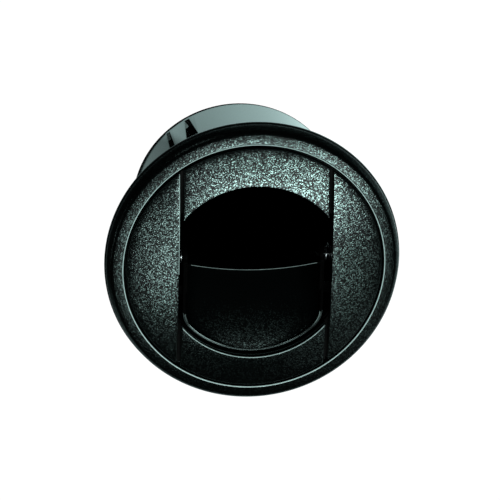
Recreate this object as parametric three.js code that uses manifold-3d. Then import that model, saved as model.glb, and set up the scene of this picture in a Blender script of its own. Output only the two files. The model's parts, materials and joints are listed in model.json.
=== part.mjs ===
// Desk grommet: a flanged tube for a 63.5 mm hole in a worktop, closed by a lift-out domed cap.
// The cap has two side plates, a top and a bottom band, an open cord passage, and a finger scoop that
// swings down on two pins, against two springs, when a plug has to pass.
// Millimetres, +Z up. The origin is on the tube's axis, in the plane of the tube's open lower end.

import * as THREE from 'three';
import { mergeVertices } from 'three/addons/utils/BufferGeometryUtils.js';
import Module from 'manifold-3d';

const wasm = await Module();
wasm.setup();

// ---- driving dimensions -------------------------------------------------------------------------

const GAP = 0.3; // clearance that touching pieces keep

const TUBE_R = 31.5; // outside radius of the tube
const TUBE_WALL = 2.2;
const BORE_R = TUBE_R - TUBE_WALL;
const SEAT_Z = 46; // underside of the flange, which rests on the worktop
const FACE_Z = 52.2; // height of the flange's inner lip
const FLANGE_R = 43.5;
const FLANGE_EDGE_Z = SEAT_Z + 0.7; // widest line of the flange
const SHOULDER_R = 40.2; // the flange's shoulder rounds over from here to its edge
const SHOULDER_LOW_Z = SEAT_Z + 1.3;
const SHOULDER_HIGH_Z = FACE_Z - 0.45;
const SHOULDER_TURN = (77 * Math.PI) / 180; // how far the shoulder turns up
const STEP_WIDTH = 0.3; // narrow step under the shoulder
const LIP_R = 38.6; // crest of the lip, which is a rounded bead
const LIP_ROUND = 0.5;
const RECESS_R = LIP_R - LIP_ROUND;
const RECESS_Z = 48.4; // floor that the cap sits on

const GROOVE = 1.15; // from the lip's crest to the cap, and from side plate to band
const CAP_R = LIP_R - GROOVE;
const DOME_R = 131; // radius of the sphere that the cap's face lies on
const DOME_CENTRE_Z = FACE_Z - Math.sqrt(DOME_R ** 2 - LIP_R ** 2);

const OPENING_R = 27.05; // round opening between the bands
const OPENING_Y = -0.4;
const PLATE_X = 22.35; // straight edge of each side plate
const BAND_X = PLATE_X - GROOVE; // half the length of each band
const PLATE_BASE_Z = 50.95; // flat underside of the plates and bands
const SKIN = 1.8; // wall thickness of the plates and bands

const CARRIER_R = 37.2;
const CARRIER_LOW_Z = RECESS_Z + GAP;
const CARRIER_TOP_Z = PLATE_BASE_Z - GAP;
const CARRIER_OPEN_R = 27.6;
const CARRIER_OPEN_X = 24.6;
const SKIRT_R = 28.9; // outside radius of the skirt that plugs into the tube
const SKIRT_LOW_Z = 34;

const SCOOP_R = 26.45; // round outer edge of the finger scoop
const SCOOP_X = 20.7; // half its length
const SCOOP_RIM_Z = 51.7;
const SCOOP_MID_Y = -11; // point that the half-moon outline is drawn round
const SCOOP_LOW_Y = OPENING_Y - SCOOP_R; // lower edge, where the ramp starts
const SCOOP_LIP_Y = 0.5; // mean line of the upper lip
const SCOOP_LIP_SAG = 2.4; // how far the middle of the lip lies behind its ends
const SCOOP_CORNER = 24; // how sharply the round edge meets the sides: higher is sharper
const SCOOP_DEPTH = 17.5; // depth that the ramp would reach under the lip
const SCOOP_START = 0.66; // share of the ramp's mean slope that it starts with
const SCOOP_WALL = 1.5;
const SCOOP_RIM_SHARE = 0.065; // width of the rim as a share of the dish's reach

const PIVOT_Y = 2.6;
const PIVOT_Z = 48.4;
const PIN_R = 0.95;
const PIN_HOLE_R = PIN_R + GAP;
const EAR_R = 2.5;
const EAR_WIDTH = 1.2;
const EAR_TOP_Z = SCOOP_RIM_Z - 0.2;
const EAR_BACK_Y = -8;

const PIVOT_WALL = 1.8; // thickness of the two walls that hold the pins
const PIVOT_WALL_HALF = 4; // half their length
const PIVOT_WALL_LOW_Z = PIVOT_Z - 3.6;
const PIN_INNER_X = 18.6;
const PIN_OUTER_X = 26;
const WASHER_X = 21.1;
const WASHER_THICKNESS = 0.4;
const WASHER_R = 2.1;
const SPRING_X = 22;
const SPRING_TURNS = 3.5;
const SPRING_PITCH = 0.56;
const SPRING_R = 1.88; // mean radius of the coil
const WIRE_R = 0.22;
const SPRING_LEG = 3;

const RIB_WIDTH = 0.35;
const RIB_TOP_Z = 52;
const RIB_NEAR_Y = 17.6;
const RIB_FAR_Y = 30.4;

const BUMPER_X = 23.4;
const BUMPER_Y = -8;
const BUMPER_R = 0.9;
const TAB_TOP_Z = 49.2; // stop tabs of the scoop, under the bumpers
const TAB_THICKNESS = 1.3;
const TAB_HALF = 1.5; // half its length
const TAB_INNER_X = SCOOP_X - 1.1;
const TAB_OUTER_X = BUMPER_X + 0.6;

const SCREW_SHANK_R = 0.9;
const SCREW_HEAD_R = 1.8;
const CROSS_HALF = 1.2; // half the length of a screw's cross recess
const CROSS_WIDTH = 0.5;
const CROSS_DEPTH = 0.6;
const SCREW_PLACES = [
  ['plate_screw_left_upper', -30, 12],
  ['plate_screw_left_lower', -30, -12],
  ['plate_screw_right_upper', 30, 12],
  ['plate_screw_right_lower', 30, -12],
  ['band_screw_top', 0, 32.4],
  ['band_screw_bottom', 0, -32.6],
];

const BOSS_R = 2.2;
const SCREW_HEAD_TOP_Z = 49.8;
const SCREW_TIP_Z = 52.6;

const TONGUE_COUNT = 3; // springy tongues round the tube, each inside a U-shaped slot
const TONGUE_ANGLE = 126.4; // place of the first, in degrees from +X
const TONGUE_ROOT_HALF = 2.75; // half the tongue's width where it joins the tube's end ring
const TONGUE_HALF = 2;
const SLOT_LOW_Z = 2.5;
const SLOT_KNEE_Z = 17; // the slot widens from its low end to here
const SLOT_CROSS_Z = 40.5; // the tongue's free end
const SLOT_HIGH_Z = SEAT_Z - 4;
const SLOT_WIDE_LOW = 4.3; // the widening leg's outer edge, from the tongue's middle
const SLOT_WIDE_KNEE = 6;
const SLOT_NARROW = 4; // the other leg's outer edge
const BARB_LOW_Z = 26;
const BARB_HIGH_Z = 40;
const BARB_PROUD = 0.5;
const BARB_ROOT = 0.4; // how far the barb is sunk into the tongue
const BARB_STEP = 0.8; // the barb's crest lies this far below its top
const BARB_WIDTH = 2 * TONGUE_HALF - 0.8;

const FAR = 60; // beyond every side of the object, for cutters

// ---- materials ----------------------------------------------------------------------------------

const material = (color, roughness, metalness = 0) =>
  new THREE.MeshStandardMaterial({ color, roughness, metalness });

const GRAINED_BLACK = material(0x1b2022, 0.6);
const GLOSS_BLACK = material(0x1f2827, 0.2);
const BLACK = material(0x14181a, 0.5);
const STEEL = material(0xa8acae, 0.3, 1);
const BLACK_STEEL = material(0x1c1d1e, 0.4, 1);
const RUBBER = material(0x0e0f10, 0.9);

// ---- solids -------------------------------------------------------------------------------------

function toSolid(geometry) {
  const bare = geometry.index ? geometry.toNonIndexed() : geometry.clone();
  for (const name of Object.keys(bare.attributes)) {
    if (name !== 'position') bare.deleteAttribute(name);
  }
  const merged = mergeVertices(bare, 1e-4);
  const mesh = new wasm.Mesh({
    numProp: 3,
    vertProperties: new Float32Array(merged.attributes.position.array),
    triVerts: new Uint32Array(merged.index.array),
  });
  return new wasm.Manifold(mesh);
}

function toGeometry(solid) {
  const { vertProperties, triVerts, numProp } = solid.getMesh();
  const places = new Float32Array((vertProperties.length / numProp) * 3);
  for (let i = 0; i < places.length / 3; i += 1) {
    places.set(vertProperties.slice(i * numProp, i * numProp + 3), i * 3);
  }
  const geometry = new THREE.BufferGeometry();
  geometry.setAttribute('position', new THREE.BufferAttribute(places, 3));
  geometry.setIndex(new THREE.BufferAttribute(new Uint32Array(triVerts), 1));
  geometry.computeVertexNormals();
  return geometry;
}

function joined(...solids) {
  return solids.reduce((whole, next) => whole.add(next));
}

function turned(points, segments) {
  const outline = points.map(([r, z]) => new THREE.Vector2(r, z));
  return toSolid(new THREE.LatheGeometry(outline, segments).rotateX(Math.PI / 2));
}

function block(x0, x1, y0, y1, z0, z1) {
  const box = new THREE.BoxGeometry(x1 - x0, y1 - y0, z1 - z0);
  return toSolid(box.translate((x0 + x1) / 2, (y0 + y1) / 2, (z0 + z1) / 2));
}

function post(r, x, y, z0, z1, segments = 16) {
  const cylinder = new THREE.CylinderGeometry(r, r, z1 - z0, segments).rotateX(Math.PI / 2);
  return toSolid(cylinder.translate(x, y, (z0 + z1) / 2));
}

function crossPost(r, x0, x1, y, z, segments = 16) {
  const cylinder = new THREE.CylinderGeometry(r, r, Math.abs(x1 - x0), segments).rotateZ(Math.PI / 2);
  return toSolid(cylinder.translate((x0 + x1) / 2, y, z));
}

const domeZ = (r) => DOME_CENTRE_Z + Math.sqrt(DOME_R ** 2 - r ** 2);

// A lens with a flat base: the space under the cap's domed face, lowered by drop.
function lens(radius, base, drop) {
  const steps = 5;
  const outline = [[0, base], [radius, base]];
  for (let i = 0; i <= steps; i += 1) {
    const r = radius * (1 - i / steps);
    outline.push([r, domeZ(r) - drop]);
  }
  return turned(outline, 72);
}

// ---- liner: flange and tube ---------------------------------------------------------------------

function linerOutline() {
  const outline = [[BORE_R, 0.6], [BORE_R + 0.6, 0], [TUBE_R - 0.5, 0], [TUBE_R, 0.5], [TUBE_R, SEAT_Z]];
  outline.push([FLANGE_R - 0.6, SEAT_Z], [FLANGE_R - 0.1, SEAT_Z + 0.25], [FLANGE_R, FLANGE_EDGE_Z]);
  outline.push([FLANGE_R - 0.1, FLANGE_EDGE_Z + 0.35], [FLANGE_R - STEP_WIDTH, SHOULDER_LOW_Z - 0.1]);
  const steps = 5;
  for (let i = 0; i <= steps; i += 1) {
    const turn = (i / steps) * SHOULDER_TURN;
    const r = SHOULDER_R + (FLANGE_R - STEP_WIDTH - SHOULDER_R) * Math.cos(turn);
    outline.push([r, SHOULDER_LOW_Z + (SHOULDER_HIGH_Z - SHOULDER_LOW_Z) * Math.sin(turn)]);
  }
  outline.push([LIP_R + LIP_ROUND * 0.5, domeZ(LIP_R + LIP_ROUND * 0.5)], [LIP_R, FACE_Z - 0.05]);
  outline.push([RECESS_R + LIP_ROUND * 0.3, FACE_Z - LIP_ROUND * 0.4], [RECESS_R, FACE_Z - LIP_ROUND * 1.2]);
  outline.push([RECESS_R, RECESS_Z], [BORE_R, RECESS_Z], [BORE_R, 0.6]);
  return outline;
}

// A U-shaped slot frees a tongue of the tube's wall. One of its legs widens towards the flange.
function tongueSlot(angle) {
  const corners = [
    [-SLOT_WIDE_LOW, SLOT_LOW_Z], [-SLOT_WIDE_KNEE, SLOT_KNEE_Z], [-SLOT_WIDE_KNEE, SLOT_HIGH_Z],
    [SLOT_NARROW, SLOT_HIGH_Z], [SLOT_NARROW, SLOT_LOW_Z], [TONGUE_ROOT_HALF, SLOT_LOW_Z],
    [TONGUE_HALF, SLOT_KNEE_Z], [TONGUE_HALF, SLOT_CROSS_Z], [-TONGUE_HALF, SLOT_CROSS_Z],
    [-TONGUE_HALF, SLOT_KNEE_Z], [-TONGUE_ROOT_HALF, SLOT_LOW_Z],
  ];
  const outline = new THREE.Shape(corners.map(([x, y]) => new THREE.Vector2(x, y)));
  const cut = new THREE.ExtrudeGeometry(outline, { depth: 3 * TUBE_WALL, bevelEnabled: false });
  cut.rotateX(Math.PI / 2).rotateZ(Math.PI / 2).translate(BORE_R - TUBE_WALL, 0, 0);
  return toSolid(cut.rotateZ(THREE.MathUtils.degToRad(angle)));
}

// The tongue's barb is a wedge, thin at the tube's end and proud of it below the worktop.
function tongueBarb(angle) {
  const outline = new THREE.Shape();
  outline.moveTo(0, BARB_LOW_Z);
  outline.lineTo(BARB_PROUD + BARB_ROOT, BARB_HIGH_Z - BARB_STEP);
  outline.lineTo(0, BARB_HIGH_Z);
  const wedge = new THREE.ExtrudeGeometry(outline, { depth: BARB_WIDTH, bevelEnabled: false });
  wedge.rotateX(Math.PI / 2).translate(TUBE_R - BARB_ROOT, BARB_WIDTH / 2, 0);
  return toSolid(wedge.rotateZ(THREE.MathUtils.degToRad(angle)));
}

function liner() {
  let solid = turned(linerOutline(), 80);
  for (let i = 0; i < TONGUE_COUNT; i += 1) {
    const angle = TONGUE_ANGLE + (i * 360) / TONGUE_COUNT;
    solid = solid.subtract(tongueSlot(angle)).add(tongueBarb(angle));
  }
  return solid;
}

// ---- cap: carrier, plates and bands -------------------------------------------------------------

function screwHole(x, y) {
  const shankHole = post(SCREW_SHANK_R + GAP, x, y, CARRIER_LOW_Z - 1, CARRIER_TOP_Z + 1);
  const headHole = post(SCREW_HEAD_R + GAP, x, y, CARRIER_LOW_Z - 1, SCREW_HEAD_TOP_Z + GAP);
  return joined(shankHole, headHole);
}

function openingCutter(radius, halfWidth, z0, z1) {
  const round = post(radius, 0, OPENING_Y, z0, z1, 80);
  return round.intersect(block(-halfWidth, halfWidth, -FAR, FAR, z0, z1));
}

function pivotWall(side) {
  const x = side * (CARRIER_OPEN_X + PIVOT_WALL / 2);
  const y0 = PIVOT_Y - PIVOT_WALL_HALF;
  const y1 = PIVOT_Y + PIVOT_WALL_HALF;
  return block(x - PIVOT_WALL / 2, x + PIVOT_WALL / 2, y0, y1, PIVOT_WALL_LOW_Z, CARRIER_TOP_Z);
}

// Thin ribs stand on the carrier in the gaps between the side plates and the bands.
function gapRib(side, end) {
  const x = side * (PLATE_X - GROOVE / 2);
  const y = end * (RIB_NEAR_Y + RIB_FAR_Y) / 2;
  const half = (RIB_FAR_Y - RIB_NEAR_Y) / 2;
  return block(x - RIB_WIDTH / 2, x + RIB_WIDTH / 2, y - half, y + half, CARRIER_TOP_Z - 0.5, RIB_TOP_Z);
}

function capCarrier() {
  const ring = turned([
    [CARRIER_OPEN_X - 1, CARRIER_LOW_Z], [CARRIER_R, CARRIER_LOW_Z],
    [CARRIER_R, CARRIER_TOP_Z], [CARRIER_OPEN_X - 1, CARRIER_TOP_Z], [CARRIER_OPEN_X - 1, CARRIER_LOW_Z],
  ], 64);
  const skirt = turned([
    [CARRIER_OPEN_R, SKIRT_LOW_Z + 0.5], [SKIRT_R - 0.8, SKIRT_LOW_Z], [SKIRT_R, SKIRT_LOW_Z + 2],
    [SKIRT_R, CARRIER_LOW_Z + 0.5], [CARRIER_OPEN_R, CARRIER_LOW_Z + 0.5],
    [CARRIER_OPEN_R, SKIRT_LOW_Z + 0.5],
  ], 64);
  const cutLow = CARRIER_LOW_Z - 1;
  const cutter = openingCutter(CARRIER_OPEN_R, CARRIER_OPEN_X, cutLow, CARRIER_TOP_Z + 1);
  let solid = joined(ring.subtract(cutter), skirt);
  for (const side of [-1, 1]) {
    solid = solid.add(pivotWall(side));
    solid = solid.add(gapRib(side, -1)).add(gapRib(side, 1));
    const holeEnd = side * (CARRIER_OPEN_X + PIVOT_WALL + GAP);
    solid = solid.subtract(crossPost(PIN_HOLE_R, side * (CARRIER_OPEN_X - 1), holeEnd, PIVOT_Y, PIVOT_Z));
  }
  for (const [, x, y] of SCREW_PLACES) solid = solid.subtract(screwHole(x, y));
  return solid;
}

const screwBoss = (x, y) => post(BOSS_R, x, y, PLATE_BASE_Z, domeZ(Math.hypot(x, y)) - SKIN / 2);
const pilotHole = (x, y) => post(SCREW_SHANK_R + GAP, x, y, PLATE_BASE_Z - 1, SCREW_TIP_Z + GAP);

// A face piece is the part of the domed lens inside a prism, hollowed from below.
function facePiece(prism, innerPrism, screwNames) {
  const outside = lens(CAP_R, PLATE_BASE_Z, 0).intersect(prism);
  const inside = lens(CAP_R - SKIN, PLATE_BASE_Z - 1, SKIN).intersect(innerPrism);
  let solid = outside.subtract(inside);
  for (const [name, x, y] of SCREW_PLACES) {
    if (screwNames.includes(name)) {
      solid = solid.add(screwBoss(x, y)).subtract(pilotHole(x, y));
    }
  }
  return solid;
}

function sidePlate(side) {
  const far = side * FAR;
  const near = side * PLATE_X;
  const innerNear = side * (PLATE_X + SKIN);
  const span = (a, b) => block(Math.min(a, b), Math.max(a, b), -FAR, FAR, 0, FAR);
  const word = side < 0 ? 'left' : 'right';
  const screws = [`plate_screw_${word}_upper`, `plate_screw_${word}_lower`];
  return facePiece(span(near, far), span(innerNear, far), screws);
}

function band(end) {
  const hole = post(OPENING_R, 0, OPENING_Y, 0, FAR, 96);
  const innerHole = post(OPENING_R + SKIN, 0, OPENING_Y, 0, FAR, 96);
  const [low, high] = end > 0 ? [0, FAR] : [-FAR, 0];
  const half = (halfWidth) => block(-halfWidth, halfWidth, low, high, 0, FAR);
  const prism = half(BAND_X).subtract(hole);
  const innerPrism = half(BAND_X - SKIN).subtract(innerHole);
  return facePiece(prism, innerPrism, [end > 0 ? 'band_screw_top' : 'band_screw_bottom']);
}

function screw(x, y) {
  const head = post(SCREW_HEAD_R, x, y, CARRIER_LOW_Z + 0.1, SCREW_HEAD_TOP_Z);
  const shank = post(SCREW_SHANK_R, x, y, SCREW_HEAD_TOP_Z - 0.2, SCREW_TIP_Z, 12);
  const slot = (halfX, halfY) => {
    return block(x - halfX, x + halfX, y - halfY, y + halfY, CARRIER_LOW_Z, CARRIER_LOW_Z + CROSS_DEPTH);
  };
  const cross = slot(CROSS_HALF, CROSS_WIDTH / 2).add(slot(CROSS_WIDTH / 2, CROSS_HALF));
  return joined(head, shank).subtract(cross);
}

// ---- finger scoop -------------------------------------------------------------------------------

// Distance from the dish's middle to its half-moon outline, in a given direction.
function outlineRadius(angle) {
  const dx = Math.cos(angle);
  const dy = Math.sin(angle);
  const back = OPENING_Y - SCOOP_MID_Y;
  const toArc = dy * back + Math.sqrt(SCOOP_R ** 2 - (dx * back) ** 2);
  const toSide = SCOOP_X / Math.max(Math.abs(dx), 1e-6);
  const toLip = dy > 1e-6 ? (SCOOP_LIP_Y - SCOOP_MID_Y) / dy : Infinity;
  const sum = [toArc, toSide, toLip].reduce((total, reach) => total + reach ** -SCOOP_CORNER, 0);
  return sum ** (-1 / SCOOP_CORNER);
}

// The lip bows towards the bottom band: its middle lies behind its two ends.
function bowLip(x, y) {
  const share = THREE.MathUtils.smoothstep(y, SCOOP_MID_Y, SCOOP_LIP_Y);
  return y + share * SCOOP_LIP_SAG * ((x / SCOOP_X) ** 2 - 0.5);
}

// The floor is a ramp that steepens from the lower edge to a trough under the lip. Steep walls close
// its sides and its lip; they fade out at the lower edge, so that the ramp meets the rim there.
function floorDepth(share, y) {
  const along = THREE.MathUtils.clamp((y - SCOOP_LOW_Y) / (SCOOP_LIP_Y - SCOOP_LOW_Y), 0, 1);
  const ramp = SCOOP_DEPTH * along * (SCOOP_START + (1 - SCOOP_START) * along);
  return ramp * (1 - share ** 6) ** (0.5 * Math.min(1, 3 * along));
}

// A turned dish whose round outline is stretched to the half-moon outline, then pressed down.
function dish() {
  const steps = 7;
  const shares = [];
  for (let i = 0; i <= steps; i += 1) shares.push(Math.sin((i / steps) * (Math.PI / 2)));
  const outside = shares.map((share) => [share, share, SCOOP_WALL * Math.sqrt(1 - share ** 8)]);
  const inside = shares.map((share) => [share * (1 - SCOOP_RIM_SHARE), share, 0]).reverse();
  const rings = [...outside, ...inside];
  const profile = rings.map(([reach, , drop]) => new THREE.Vector2(reach, -drop));
  const geometry = new THREE.LatheGeometry(profile, 56).rotateX(Math.PI / 2);
  const places = geometry.attributes.position;
  for (let i = 0; i < places.count; i += 1) {
    const [reachShare, share, drop] = rings[i % rings.length];
    const angle = reachShare > 0 ? Math.atan2(places.getY(i), places.getX(i)) : 0;
    const reach = reachShare * outlineRadius(angle);
    const x = reach * Math.cos(angle);
    const y = bowLip(x, SCOOP_MID_Y + reach * Math.sin(angle));
    places.setXYZ(i, x, y, SCOOP_RIM_Z - drop - floorDepth(share, y));
  }
  return toSolid(geometry);
}

// An ear carries the dish's corner on its pin.
function ear(side) {
  const outline = new THREE.Shape();
  outline.moveTo(EAR_BACK_Y, EAR_TOP_Z);
  outline.lineTo(PIVOT_Y - EAR_R * 0.5, EAR_TOP_Z);
  outline.lineTo(PIVOT_Y + EAR_R * 0.8, PIVOT_Z + EAR_R * 0.6);
  outline.lineTo(PIVOT_Y, PIVOT_Z - EAR_R);
  outline.lineTo(EAR_BACK_Y + EAR_R, PIVOT_Z - EAR_R / 2);
  const plate = new THREE.ExtrudeGeometry(outline, { depth: EAR_WIDTH, bevelEnabled: false });
  plate.rotateX(Math.PI / 2).rotateZ(Math.PI / 2);
  plate.translate(side > 0 ? SCOOP_X - EAR_WIDTH : -SCOOP_X, 0, 0);
  const inner = side * (SCOOP_X - EAR_WIDTH);
  const hub = crossPost(EAR_R, inner, side * SCOOP_X, PIVOT_Y, PIVOT_Z);
  return toSolid(plate).add(hub);
}

function stopTab(side) {
  const [x0, x1] = side > 0 ? [TAB_INNER_X, TAB_OUTER_X] : [-TAB_OUTER_X, -TAB_INNER_X];
  const low = TAB_TOP_Z - TAB_THICKNESS;
  return block(x0, x1, BUMPER_Y - TAB_HALF, BUMPER_Y + TAB_HALF, low, TAB_TOP_Z);
}

function fingerScoop() {
  let solid = dish();
  for (const side of [-1, 1]) {
    solid = joined(solid, ear(side), stopTab(side));
    const farX = side * (SCOOP_X + 1);
    solid = solid.subtract(crossPost(PIN_HOLE_R, side * (SCOOP_X - EAR_WIDTH - 1), farX, PIVOT_Y, PIVOT_Z));
  }
  return solid;
}

// ---- pins, washers, springs and bumpers ---------------------------------------------------------

function hingePin(side) {
  return crossPost(PIN_R, side * PIN_INNER_X, side * PIN_OUTER_X, PIVOT_Y, PIVOT_Z);
}

function washer(side) {
  const inner = side * WASHER_X;
  const outer = side * (WASHER_X + WASHER_THICKNESS);
  const disc = crossPost(WASHER_R, inner, outer, PIVOT_Y, PIVOT_Z);
  return disc.subtract(crossPost(PIN_HOLE_R, inner - side, outer + side, PIVOT_Y, PIVOT_Z));
}

class SpringLine extends THREE.Curve {
  constructor(side) {
    super();
    this.side = side;
    this.coilLength = SPRING_TURNS * 2 * Math.PI * SPRING_R;
    this.arcLengthDivisions = 800;
  }

  getPoint(t, target = new THREE.Vector3()) {
    const along = t * (this.coilLength + 2 * SPRING_LEG) - SPRING_LEG;
    const onCoil = THREE.MathUtils.clamp(along, 0, this.coilLength);
    const turn = onCoil / SPRING_R;
    const past = along - onCoil;
    const x = this.side * (SPRING_X + WIRE_R + (turn / (2 * Math.PI)) * SPRING_PITCH);
    const y = PIVOT_Y + SPRING_R * Math.cos(turn) - past * Math.sin(turn);
    const z = PIVOT_Z + SPRING_R * Math.sin(turn) + past * Math.cos(turn);
    return target.set(x, y, z);
  }
}

function returnSpring(side) {
  const section = new THREE.Shape();
  section.absarc(0, 0, WIRE_R, 0, Math.PI * 2);
  const geometry = new THREE.ExtrudeGeometry(section, {
    steps: 50,
    curveSegments: 3,
    extrudePath: new SpringLine(side),
    bevelEnabled: false,
  });
  return toSolid(geometry);
}

function stopBumper(side) {
  return post(BUMPER_R, side * BUMPER_X, BUMPER_Y, TAB_TOP_Z + GAP, CARRIER_TOP_Z);
}

// ---- the whole grommet --------------------------------------------------------------------------

const grommet = new THREE.Group();

function place(name, solid, look) {
  const mesh = new THREE.Mesh(toGeometry(solid), look);
  mesh.name = name;
  grommet.add(mesh);
}

place('liner', liner(), GLOSS_BLACK);
place('cap_carrier', capCarrier(), BLACK);
place('left_side_plate', sidePlate(-1), GRAINED_BLACK);
place('right_side_plate', sidePlate(1), GRAINED_BLACK);
place('top_band', band(1), GRAINED_BLACK);
place('bottom_band', band(-1), GRAINED_BLACK);
place('finger_scoop', fingerScoop(), GRAINED_BLACK);
for (const [word, side] of [['left', -1], ['right', 1]]) {
  place(`hinge_pin_${word}`, hingePin(side), BLACK_STEEL);
  place(`pivot_washer_${word}`, washer(side), STEEL);
  place(`return_spring_${word}`, returnSpring(side), STEEL);
  place(`stop_bumper_${word}`, stopBumper(side), RUBBER);
}
for (const [name, x, y] of SCREW_PLACES) place(name, screw(x, y), STEEL);

export default grommet;
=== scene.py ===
"""Desk grommet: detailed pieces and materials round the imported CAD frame. Lengths are in metres."""

import json
import math

import bmesh
import bpy
from mathutils import Matrix, Vector
from mathutils.geometry import delaunay_2d_cdt


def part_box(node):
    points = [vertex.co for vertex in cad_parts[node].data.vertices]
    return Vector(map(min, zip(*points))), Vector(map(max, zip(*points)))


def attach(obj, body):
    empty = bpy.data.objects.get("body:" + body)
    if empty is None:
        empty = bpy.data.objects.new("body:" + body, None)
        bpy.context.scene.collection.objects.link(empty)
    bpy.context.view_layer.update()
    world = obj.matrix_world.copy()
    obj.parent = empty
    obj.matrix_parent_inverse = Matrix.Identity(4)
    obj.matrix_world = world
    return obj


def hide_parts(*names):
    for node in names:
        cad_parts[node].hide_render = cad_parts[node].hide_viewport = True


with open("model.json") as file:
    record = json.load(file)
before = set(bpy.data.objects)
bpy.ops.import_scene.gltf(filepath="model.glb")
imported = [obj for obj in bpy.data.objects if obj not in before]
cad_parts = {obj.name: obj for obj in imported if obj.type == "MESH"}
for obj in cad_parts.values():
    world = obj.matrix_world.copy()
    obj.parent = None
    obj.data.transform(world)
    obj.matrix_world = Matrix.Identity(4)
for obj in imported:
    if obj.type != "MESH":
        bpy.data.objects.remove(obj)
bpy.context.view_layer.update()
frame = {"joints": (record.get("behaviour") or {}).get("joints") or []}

MM = 0.001
GAP = 0.3 * MM  # clearance that touching pieces keep
SINK = 0.01 * MM  # keeps joined or cut faces from lying in one plane
TOUCH = 1e-7  # points nearer than this are the same

ROUND_SEGMENTS = 256
PIN_SEGMENTS = 64
SMALL_SEGMENTS = 48

# ---- sizes, from the frame where it has them ------------------------------------------------------

FACE_Z = 52.2 * MM  # height of the flange's inner lip
FACE_CENTRE = Vector((0, 0, FACE_Z))
FLANGE_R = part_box("liner")[1].x
SEAT_Z = 46 * MM  # underside of the flange, which rests on the worktop
TUBE_R = 31.5 * MM
BORE_R = 29.3 * MM
LIP_R = 38.6 * MM
LIP_ROUND = 0.6 * MM
RECESS_R = 38.1 * MM
RECESS_Z = 48.4 * MM  # floor that the cap sits on

CAP_R = -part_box("left_side_plate")[0].x
PLATE_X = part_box("right_side_plate")[0].x
BAND_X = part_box("top_band")[1].x
PLATE_BASE_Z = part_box("top_band")[0].z
DOME_R = 131 * MM
DOME_CENTRE_Z = FACE_Z - math.sqrt(DOME_R**2 - LIP_R**2)
OPENING_R = 27.05 * MM
OPENING_Y = -0.4 * MM

CARRIER_LOW_Z = 48.7 * MM
CARRIER_TOP_Z = PLATE_BASE_Z - GAP
CARRIER_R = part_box("cap_carrier")[1].x
CARRIER_OPEN_R = 27.6 * MM
CARRIER_OPEN_X = 24.6 * MM
SKIRT_R = 28.9 * MM
SKIRT_LOW_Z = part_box("cap_carrier")[0].z

SCOOP_RIM_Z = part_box("finger_scoop")[1].z
SCOOP_R = 26.45 * MM
SCOOP_X = 20.7 * MM
SCOOP_MID_Y = -11 * MM
SCOOP_LIP_Y = 0.5 * MM  # mean line of the upper lip
SCOOP_LIP_SAG = 2.4 * MM  # how far the middle of the lip lies behind its ends
SCOOP_LOW_Y = OPENING_Y - SCOOP_R
SIDE_LOW_Y = -14.5 * MM  # about where the dish's straight sides end
SCOOP_CORNER = 24  # how sharply the round edge meets the sides: higher is sharper
SCOOP_DEPTH = 17.5 * MM  # depth that the ramp would reach under the lip
SCOOP_START = 0.66  # share of the ramp's mean slope that it starts with
SCOOP_WALL = 1.5 * MM
SCOOP_RIM_SHARE = 0.036  # width of the rim as a share of the dish's reach

HINGE = next(j for j in frame["joints"] if j["name"] == "scoop_hinge")
PIVOT_Y = HINGE["pos_m"][1]
PIVOT_Z = HINGE["pos_m"][2]


def dome_z(x, y):
    """Height of the face's sphere above a point."""
    return DOME_CENTRE_Z + math.sqrt(DOME_R**2 - x * x - y * y)


# ---- mesh tools -----------------------------------------------------------------------------------


def new_object(name, mesh):
    obj = bpy.data.objects.new(name, mesh)
    bpy.context.scene.collection.objects.link(obj)
    return obj


def mesh_object(name, points, faces):
    mesh = bpy.data.meshes.new(name)
    mesh.from_pydata([tuple(p) for p in points], [], faces)
    mesh.update()
    return new_object(name, mesh)


def rounded(corners, closed=True, steps=6):
    """A polyline through (x, y, radius) corners, each corner replaced by an arc of its radius."""
    path = []
    count = len(corners)
    for i, (x, y, radius) in enumerate(corners):
        here = Vector((x, y))
        if radius <= 0 or (not closed and i in (0, count - 1)):
            path.append(here)
            continue
        before = (Vector(corners[i - 1][:2]) - here).normalized()
        after = (Vector(corners[(i + 1) % count][:2]) - here).normalized()
        half = before.angle(after) / 2
        reach = radius / math.tan(half)
        centre = here + (before + after).normalized() * (radius / math.sin(half))
        start = here + before * reach - centre
        end = here + after * reach - centre
        sweep = start.angle_signed(end)
        for k in range(steps + 1):
            turn = -sweep * k / steps
            c, s = math.cos(turn), math.sin(turn)
            arm = Vector((start.x * c - start.y * s, start.x * s + start.y * c))
            path.append(centre + arm)
    return path


def revolve(name, profile, segments=ROUND_SEGMENTS, closed=True):
    """A solid turned about Z from (r, z) points. An open profile starts and ends on the axis."""
    points = []
    rings = []
    for r, z in profile:
        if r < TOUCH:
            rings.append([len(points)])
            points.append((0, 0, z))
            continue
        rings.append(list(range(len(points), len(points) + segments)))
        for k in range(segments):
            turn = 2 * math.pi * k / segments
            points.append((r * math.cos(turn), r * math.sin(turn), z))
    faces = []
    pairs = list(zip(rings, rings[1:]))
    if closed:
        pairs.append((rings[-1], rings[0]))
    for low, high in pairs:
        for k in range(segments):
            n = (k + 1) % segments
            a, b = low[k % len(low)], low[n % len(low)]
            c, d = high[n % len(high)], high[k % len(high)]
            face = [a, b, c, d]
            face = [v for i, v in enumerate(face) if v != face[i - 1]]
            if len(face) > 2:
                faces.append(face)
    obj = mesh_object(name, points, faces)
    face_outwards(obj)
    return obj


def face_outwards(obj):
    """Turns all faces so that their fronts look out of the solid."""
    bm = bmesh.new()
    bm.from_mesh(obj.data)
    bmesh.ops.recalc_face_normals(bm, faces=bm.faces)
    bm.to_mesh(obj.data)
    bm.free()


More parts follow.
